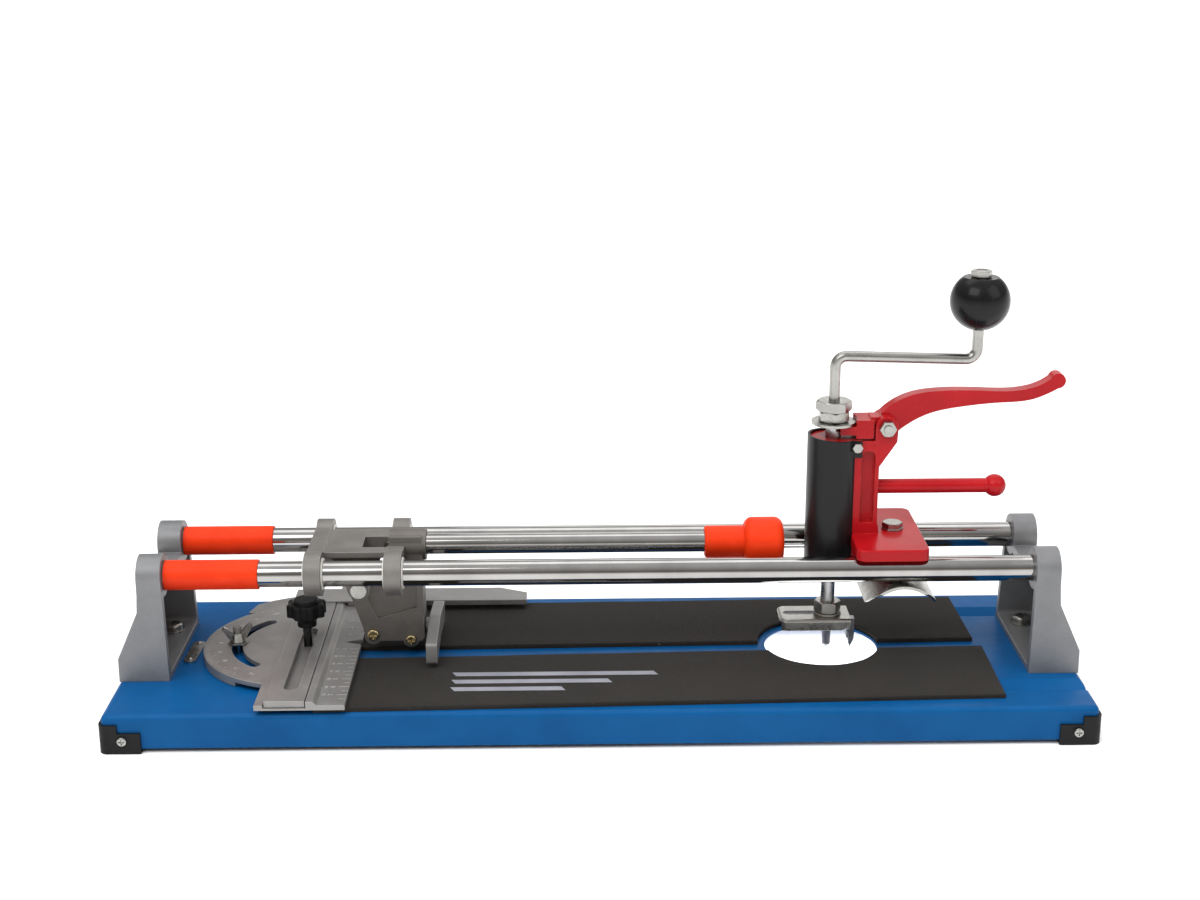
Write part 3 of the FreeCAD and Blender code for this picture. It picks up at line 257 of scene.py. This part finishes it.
def shrink_skin(name):
    """Black vinyl sleeve: long soft ripples up and down, slight gloss changes."""
    s = Surface(name, Coat_Weight=0.10, Coat_Roughness=0.16, Specular_IOR_Level=0.2)
    ripple = s.noise(95.0, 4.0, stretch=(1.0, 1.0, 0.12))
    tone = s.ramp(ripple, [(0.3, (0.005, 0.005, 0.0055)), (0.7, (0.010, 0.010, 0.0105))])
    s.edges(0.3 * MM)
    s.bump(ripple, 0.35 * MM, 0.25)
    s.bump(s.noise(1500.0, 3.0), 0.03 * MM, 0.25)
    return s.finish(tone, s.remap(ripple, 0.30, 0.42))


def make_materials():
    # In painted and casting finishes the third colour is the edge colour: partly wear, partly a painted
    # highlight.
    return {
        "blue_paint": painted("blue_powder_coat", (0.001, 0.060, 0.185), (0.002, 0.078, 0.235),
                              (0.01, 0.13, 0.33), 0.02, (0.36, 0.48), 620.0, 0.10),
        "red_paint": painted("red_enamel", (0.30, 0.003, 0.006), (0.41, 0.007, 0.011), (0.54, 0.04, 0.03),
                             0.12, (0.26, 0.38), 380.0, 0.14),
        "cast_silver": casting("silver_cast_paint", (0.165, 0.168, 0.172), (0.235, 0.238, 0.243),
                               (0.36, 0.36, 0.37), 0.45, (0.38, 0.52), 700.0, 0.18),
        "grey_casting": casting("grey_die_cast", (0.15, 0.14, 0.13), (0.24, 0.228, 0.214), (0.40, 0.38, 0.36),
                                0.55, (0.40, 0.56)),
        "ruler_casting": casting("pale_die_cast", (0.215, 0.209, 0.203), (0.32, 0.312, 0.302),
                                 (0.48, 0.47, 0.46), 0.60, (0.36, 0.50)),
        "dark_casting": casting("dark_die_cast", (0.110, 0.101, 0.092), (0.18, 0.167, 0.152), (0.34, 0.32, 0.30),
                                0.50, (0.42, 0.58), 650.0, 0.16),
        "chrome_rail": chrome("chromed_tube", (0.04, 1.0, 1.0)),
        "zinc": plated("zinc_plate", (0.35, 0.345, 0.323), (0.44, 0.433, 0.405), (0.24, 0.36)),
        "black_oxide": plated("black_oxide_steel", (0.05, 0.05, 0.05), (0.10, 0.10, 0.10), (0.30, 0.45)),
        "gold_screw": plated("yellow_chromate", (0.52, 0.40, 0.20), (0.80, 0.66, 0.38), (0.16, 0.28), 420.0),
        "steel": plated("drawn_steel", (0.42, 0.42, 0.42), (0.60, 0.60, 0.60), (0.22, 0.36), 160.0),
        "carbide": plated("ground_carbide", (0.16, 0.16, 0.17), (0.30, 0.30, 0.31), (0.25, 0.40), 600.0),
        "bronze": plated("sintered_bronze", (0.40, 0.26, 0.12), (0.56, 0.38, 0.20), (0.35, 0.5), 500.0),
        "orange_plastic": moulded("orange_grip_plastic", (0.62, 0.026, 0.002), (0.73, 0.038, 0.003),
                                  (0.42, 0.54), 1100.0, 0.05, subsurface=0.10),
        "black_plastic": moulded("black_moulding", (0.005, 0.005, 0.005), (0.011, 0.011, 0.012), (0.42, 0.58),
                                 1300.0, 0.10),
        "black_gloss": moulded("black_phenolic", (0.004, 0.004, 0.004), (0.008, 0.008, 0.009), (0.22, 0.30),
                               800.0, 0.01, coat=0.12),
        "nylon": moulded("white_nylon", (0.60, 0.58, 0.53), (0.72, 0.70, 0.66), (0.38, 0.5), 900.0, 0.03,
                         subsurface=0.2),
        "black_cover": shrink_skin("black_vinyl_sleeve"),
        "foam": foam("eva_foam"),
        "pad_print": moulded("screen_print", (0.20, 0.205, 0.235), (0.28, 0.285, 0.32), (0.6, 0.8),
                              1800.0, 0.05),
        "raised_marks": casting("rubbed_marks", (0.42, 0.41, 0.40), (0.60, 0.59, 0.58), (0.7, 0.69, 0.68),
                                0.7, (0.30, 0.42)),
    }


MATERIALS = make_materials()
OTHER_FINISH = {
    "protractor_ruler": "ruler_casting",
    "slide_fence": "ruler_casting",
    "breaker_foot": "ruler_casting",
    "pivot_stud": "black_oxide",
}


def dress_cad_nodes():
    """Every CAD node takes the procedural material of its record slot."""
    for part in frame["record"]["subparts"]:
        key = OTHER_FINISH.get(part["node"], part["material_slot"])
        for holder in NODES[part["node"]].material_slots:
            holder.material = MATERIALS[key]


# ------------------------------------------------------------------ mesh helpers

def piece_from(mesh_maker, name, material, body, smooth=True):
    """New mesh object from a bmesh, dressed and riding on a body."""
    mesh = bpy.data.meshes.new(name)
    mesh_maker.to_mesh(mesh)
    mesh_maker.free()
    made = bpy.data.objects.new(name, mesh)
    bpy.context.scene.collection.objects.link(made)
    mesh.materials.append(MATERIALS[material])
    if smooth:
        mesh.shade_smooth()
        mesh.set_sharp_from_angle(angle=SMOOTH_BELOW)
    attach(made, body)
    return made


# ------------------------------------------------------------------ foam pads

FOAM_EDGE = 0.6 * MM
FOAM_GRID = 6.0 * MM
FOAM_WAVE = 0.16 * MM
FOAM_RISE = 0.10 * MM
WELD = 0.01 * MM


def foam_pad(node):
    """Foam sheet over its CAD solid: rolled top edge and a slightly uneven face."""
    low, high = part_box(node)
    shape = bmesh.new()
    shape.from_mesh(NODES[node].data)
    bmesh.ops.remove_doubles(shape, verts=shape.verts, dist=WELD)
    bmesh.ops.dissolve_limit(shape, angle_limit=math.radians(2), verts=shape.verts, edges=shape.edges)
    top_edges = [e for e in shape.edges if all(v.co.z > high.z - WELD for v in e.verts)]
    bmesh.ops.bevel(shape, geom=top_edges, offset=FOAM_EDGE, segments=4, profile=0.5, affect="EDGES")
    for axis in (0, 1):
        way = Vector((1, 0, 0)) if axis == 0 else Vector((0, 1, 0))
        count = int((high[axis] - low[axis]) / FOAM_GRID)
        for k in range(1, count):
            at = Vector((0, 0, 0))
            at[axis] = low[axis] + k * (high[axis] - low[axis]) / count
            everything = shape.verts[:] + shape.edges[:] + shape.faces[:]
            bmesh.ops.bisect_plane(shape, geom=everything, plane_co=at, plane_no=way, dist=0.001 * MM)
    for vert in shape.verts:
        if vert.co.z > high.z - 0.5 * MM:
            wave = field.noise(vert.co * 38.0) + 0.5 * field.noise(vert.co * 120.0)
            vert.co.z += min(FOAM_RISE, FOAM_WAVE * wave)
    bmesh.ops.recalc_face_normals(shape, faces=shape.faces)
    made = piece_from(shape, node + "_foam", "foam", "base")
    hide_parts(node)
    return made


# ------------------------------------------------------------------ return spring

SPRING_WIRE_R = 0.9 * MM


def return_spring():
    """Compression spring with closed ends inside the barrel."""
    low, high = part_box("return_spring")
    wire = SPRING_WIRE_R
    radius = (high.x - low.x) / 2 - wire
    middle = (low + high) / 2
    turns, steps, sides = 9, 28, 10
    dead = 1.0
    total = turns * steps
    shape = bmesh.new()
    rings = []
    bottom, top = low.z + wire, high.z - wire
    for k in range(total + 1):
        turn = k / steps
        live = min(max((turn - dead) / (turns - 2 * dead), 0.0), 1.0)
        rise = bottom + dead * 2 * wire * min(turn / dead, 1.0)
        rise += (top - bottom - 4 * wire * dead) * live
        rise += dead * 2 * wire * max(0.0, (turn - turns + dead) / dead)
        angle = 2 * math.pi * turn
        out = Vector((math.cos(angle), math.sin(angle), 0))
        centre = Vector((middle.x, middle.y, rise)) + out * radius
        ring = []
        for j in range(sides):
            a = 2 * math.pi * j / sides
            ring.append(shape.verts.new(centre + out * wire * math.cos(a) + Vector((0, 0, wire * math.sin(a)))))
        rings.append(ring)
    for first, second in zip(rings, rings[1:]):
        for j in range(sides):
            n = (j + 1) % sides
            shape.faces.new((first[j], first[n], second[n], second[j]))
    shape.faces.new(rings[0])
    shape.faces.new(list(reversed(rings[-1])))
    bmesh.ops.recalc_face_normals(shape, faces=shape.faces)
    made = piece_from(shape, "return_spring_coil", "steel", "drill")
    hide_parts("return_spring")
    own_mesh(made)
    return made


# ------------------------------------------------------------------ markings

def add_bar(shape, centre, along, across, height):
    """Low box standing on a face: half sizes along two directions in the plane."""
    lift = Vector((0, 0, height))
    corners = [centre + along * a + across * b for a, b in ((-1, -1), (1, -1), (1, 1), (-1, 1))]
    lower = [shape.verts.new(c - lift * 0.5) for c in corners]
    upper = [shape.verts.new(c + lift) for c in corners]
    shape.faces.new(list(reversed(lower)))
    shape.faces.new(upper)
    for j in range(4):
        n = (j + 1) % 4
        shape.faces.new((lower[j], lower[n], upper[n], upper[j]))


def add_text(shape, words, size, centre, turn, height):
    """Raised figures standing on a face, centred on a point and turned about Z."""
    curve = bpy.data.curves.new("figure", "FONT")
    curve.body = words
    curve.size = size
    curve.extrude = height
    curve.offset = 0.02 * size
    curve.align_x = "CENTER"
    curve.align_y = "CENTER"
    curve.resolution_u = 3
    holder = bpy.data.objects.new("figure", curve)
    mesh = bpy.data.meshes.new_from_object(holder)
    mesh.transform(Matrix.Translation(centre) @ Matrix.Rotation(turn, 4, "Z"))
    shape.from_mesh(mesh)
    bpy.data.objects.remove(holder)
    bpy.data.meshes.remove(mesh)
    bpy.data.curves.remove(curve)


RIGHT_EDGE_IN = 0.4 * MM
TICK_STEP = 5.0 * MM
REAR_SCALE = 38
FRONT_SCALE = 78
NOTCH_CLEAR = 5.5 * MM
TICK_THICK = 0.12 * MM
FIGURE_THICK = 0.14 * MM


def ruler_marks():
    """Centimetre scale on the ruler, counted from the cut line both ways."""
    bars, figures = bmesh.new(), bmesh.new()
    edge = RULER_HIGH.x - RIGHT_EDGE_IN
    z = PLATE_TOP
    for side, last in ((1, REAR_SCALE), (-1, FRONT_SCALE)):
        for k in range(1, last // 5 + 1):
            y = PIVOT.y + side * TICK_STEP * k
            if abs(y - PIVOT.y) < NOTCH_CLEAR:
                continue
            half = 2.6 * MM if k % 2 == 0 else 1.7 * MM
            middle = Vector((edge - half, y, z))
            add_bar(bars, middle, Vector((half, 0, 0)), Vector((0, 0.16 * MM, 0)), TICK_THICK)
        for k in range(1, last // 10 + 1):
            y = PIVOT.y + side * 2 * TICK_STEP * k
            place = Vector((edge - 8.2 * MM, y, z))
            add_text(figures, str(k), 4.0 * MM, place, math.pi / 2, FIGURE_THICK)
            if side < 0:
                place = Vector((edge - 11.6 * MM, y, z))
                add_text(figures, str(k * 10), 2.6 * MM, place, math.pi / 2, FIGURE_THICK)
    piece_from(bars, "ruler_ticks", "raised_marks", "protractor", smooth=False)
    piece_from(figures, "ruler_figures", "raised_marks", "protractor", smooth=False)


DISC_SCALE_END = 60


def disc_marks():
    """Angle scale round the half disc, with 0 in the middle and 45 on each side."""
    bars, figures = bmesh.new(), bmesh.new()
    rim = PIVOT.x - RULER_LOW.x
    for degrees in range(-DISC_SCALE_END, DISC_SCALE_END + 1, 2):
        turn = math.radians(180 + degrees)
        out = Vector((math.cos(turn), math.sin(turn), 0))
        side = Vector((-out.y, out.x, 0))
        half = 2.6 * MM if degrees % 10 == 0 else 1.5 * MM
        centre = Vector((PIVOT.x, PIVOT.y, PLATE_TOP)) + out * (rim - 0.8 * MM - half)
        add_bar(bars, centre, out * half, side * 0.14 * MM, TICK_THICK)
    for degrees in range(-DISC_SCALE_END, DISC_SCALE_END + 1, 15):
        turn = math.radians(180 + degrees)
        out = Vector((math.cos(turn), math.sin(turn), 0))
        centre = Vector((PIVOT.x, PIVOT.y, PLATE_TOP)) + out * (rim - 8.8 * MM)
        add_text(figures, str(abs(degrees)), 3.6 * MM, centre, turn + math.pi / 2, FIGURE_THICK)
    piece_from(bars, "disc_ticks", "raised_marks", "protractor", smooth=False)
    piece_from(figures, "disc_figures", "raised_marks", "protractor", smooth=False)


PRINT_LEFT = -79.0 * MM
PRINT_FIRST_Y = -37.0 * MM
PRINT_LONGEST = 109.0 * MM
PRINT_STEP_Y = 9.5 * MM
PRINT_SHORTER = 25.0 * MM
PRINT_SLANT = Vector((-1.2 * MM, 2.4 * MM, 0))
PRINT_THICK = 0.13 * MM


def pad_print():
    """Three plain stripes printed on the front pad, each shorter than the one behind it."""
    shape = bmesh.new()
    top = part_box("front_pad")[1].z
    for k in range(3):
        half = (PRINT_LONGEST - PRINT_SHORTER * k) / 2
        centre = Vector((PRINT_LEFT + half, PRINT_FIRST_Y - PRINT_STEP_Y * k, top))
        add_bar(shape, centre, Vector((half, 0, 0)), PRINT_SLANT, PRINT_THICK)
    piece_from(shape, "front_pad_print", "pad_print", "base", smooth=False)


# ------------------------------------------------------------------ screw threads

STUD_R = 2.4 * MM
THREAD_PITCH = 0.8 * MM


def thread(name, centre_x, centre_y, low, high, radius, pitch, finish):
    """Rolled thread: one ridge wound round a bar."""
    shape = bmesh.new()
    steps = 24
    ridge = 0.30 * pitch
    rings = []
    for k in range(int((high - low) / pitch * steps) + 1):
        angle = 2 * math.pi * k / steps
        rise = low + pitch * k / steps
        out = Vector((math.cos(angle), math.sin(angle), 0))
        foot = Vector((centre_x, centre_y, rise)) + out * (radius - 0.1 * MM)
        rings.append([
            shape.verts.new(foot + Vector((0, 0, -0.4 * pitch))),
            shape.verts.new(foot + out * (ridge + 0.1 * MM)),
            shape.verts.new(foot + Vector((0, 0, 0.4 * pitch))),
        ])
    for first, second in zip(rings, rings[1:]):
        for j in range(3):
            n = (j + 1) % 3
            shape.faces.new((first[j], first[n], second[n], second[j]))
    shape.faces.new(rings[0])
    shape.faces.new(list(reversed(rings[-1])))
    bmesh.ops.recalc_face_normals(shape, faces=shape.faces)
    piece_from(shape, name, finish, "base", smooth=False)


def threads():
    hub_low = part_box("star_knob")[0].z
    fence_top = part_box("slide_fence")[1].z
    wing_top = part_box("wing_nut")[1].z
    lock_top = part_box("lock_stud")[1].z
    thread("pivot_stud_thread", PIVOT.x, PIVOT.y, fence_top + 0.5 * MM, hub_low - 0.4 * MM, STUD_R,
           THREAD_PITCH, "black_oxide")
    nut_top = wing_top - 4.0 * MM
    thread("lock_stud_thread", LOCK.x, LOCK.y, nut_top, lock_top - 0.5 * MM, STUD_R - 0.1 * MM,
           THREAD_PITCH, "zinc")


# ------------------------------------------------------------------ studio

CAMERA_PLACE = Vector((-0.0123, -0.9476, 0.4318))
CAMERA_YAW, CAMERA_PITCH, CAMERA_ROLL = 0.0137, 0.3002, -0.0037
CAMERA_LENS = 54.94
SENSOR = 36.0


def add_camera():
    cos, sin = math.cos, math.sin
    level = cos(CAMERA_PITCH)
    forward = Vector((sin(CAMERA_YAW) * level, cos(CAMERA_YAW) * level, -sin(CAMERA_PITCH)))
    right = Vector((cos(CAMERA_YAW), -sin(CAMERA_YAW), 0))
    up = right.cross(forward)
    side = right * cos(CAMERA_ROLL) + up * sin(CAMERA_ROLL)
    head = up * cos(CAMERA_ROLL) - right * sin(CAMERA_ROLL)
    data = bpy.data.cameras.new("camera")
    data.lens = CAMERA_LENS
    data.sensor_width = SENSOR
    camera = bpy.data.objects.new("camera", data)
    bpy.context.scene.collection.objects.link(camera)
    turn = Matrix((side, head, -forward)).transposed().to_4x4()
    camera.matrix_world = Matrix.Translation(CAMERA_PLACE) @ turn
    bpy.context.scene.camera = camera


FLOOR_REACH = 14.0


def add_floor():
    shape = bmesh.new()
    bmesh.ops.create_grid(shape, x_segments=2, y_segments=2, size=FLOOR_REACH)
    mesh = bpy.data.meshes.new("floor")
    shape.to_mesh(mesh)
    shape.free()
    floor = bpy.data.objects.new("floor", mesh)
    bpy.context.scene.collection.objects.link(floor)
    s = Surface("pale_floor", roughness=0.9)
    s.shader.inputs["Base Color"].default_value = (0.92, 0.92, 0.92, 1.0)
    mesh.materials.append(s.mat)


def add_light(name, place, aim, size, power, colour=(1.0, 1.0, 1.0), seen=True):
    data = bpy.data.lights.new(name, "AREA")
    data.shape = "RECTANGLE"
    data.size, data.size_y = size
    data.energy = power
    data.color = colour
    lamp = bpy.data.objects.new(name, data)
    bpy.context.scene.collection.objects.link(lamp)
    lamp.location = place
    lamp.rotation_euler = (Vector(aim) - Vector(place)).to_track_quat("-Z", "Y").to_euler()
    lamp.visible_camera = seen


def add_sky_light(aim, strength, spread):
    """Very soft light over the whole floor."""
    data = bpy.data.lights.new("sky", "SUN")
    data.energy = strength
    data.angle = math.radians(spread)
    lamp = bpy.data.objects.new("sky", data)
    bpy.context.scene.collection.objects.link(lamp)
    lamp.rotation_euler = Vector(aim).to_track_quat("-Z", "Y").to_euler()
    lamp.visible_glossy = False


def add_world():
    """Pale studio: white at the floor's edge, a darker and warmer band above it, bright overhead."""
    world = bpy.data.worlds.new("studio")
    bpy.context.scene.world = world
    world.use_nodes = True
    tree = world.node_tree
    back = tree.nodes["Background"]
    coords = tree.nodes.new("ShaderNodeTexCoord")
    split = tree.nodes.new("ShaderNodeSeparateXYZ")
    ramp = tree.nodes.new("ShaderNodeValToRGB")
    tree.links.new(coords.outputs["Generated"], split.inputs[0])
    tree.links.new(split.outputs["Z"], ramp.inputs["Fac"])
    tree.links.new(ramp.outputs["Color"], back.inputs["Color"])
    elements = ramp.color_ramp.elements
    stops = ((0.0, (1.0, 1.0, 1.0)), (0.08, (1.0, 1.0, 1.0)), (0.15, (0.42, 0.37, 0.33)),
             (0.22, (0.27, 0.235, 0.20)), (0.32, (0.25, 0.24, 0.23)), (0.55, (0.42, 0.42, 0.42)),
             (1.0, (0.78, 0.78, 0.80)))
    while len(elements) < len(stops):
        elements.new(0.5)
    for element, (at, colour) in zip(elements, stops):
        element.position = at
        element.color = (*colour, 1.0)
    back.inputs["Strength"].default_value = 1.0


def set_view():
    """Plain colour response, so that painted colours keep their strength."""
    view = bpy.context.scene.view_settings
    view.view_transform = "Standard"
    view.look = "None"


def add_studio():
    set_view()
    add_camera()
    add_floor()
    add_world()
    add_light("key", (-0.9, -1.1, 1.7), (0.0, 0.0, 0.05), (1.4, 1.0), 12.0)
    add_light("fill", (1.3, -0.8, 1.2), (0.0, 0.0, 0.08), (1.2, 1.2), 5.0)
    add_light("top", (0.0, 0.6, 1.9), (0.0, 0.0, 0.0), (2.2, 0.9), 8.0)
    add_light("back", (0.5, 1.5, 0.9), (0.0, 0.0, 0.06), (1.4, 0.8), 4.0)
    add_sky_light((0.25, 0.35, -1.0), 2.5, 70.0)
    hole_x, hole_y = WASTE_HOLE
    lamp_y = hole_y + 16.0 * MM
    add_light("under_tray", (hole_x, lamp_y, 14.0 * MM), (hole_x, lamp_y, 0.0), (100.0 * MM, 90.0 * MM), 0.08,
              seen=False)


add_studio()
dress_cad_nodes()
foam_pad("front_pad")
foam_pad("rear_pad")
return_spring()
ruler_marks()
disc_marks()
pad_print()
threads()
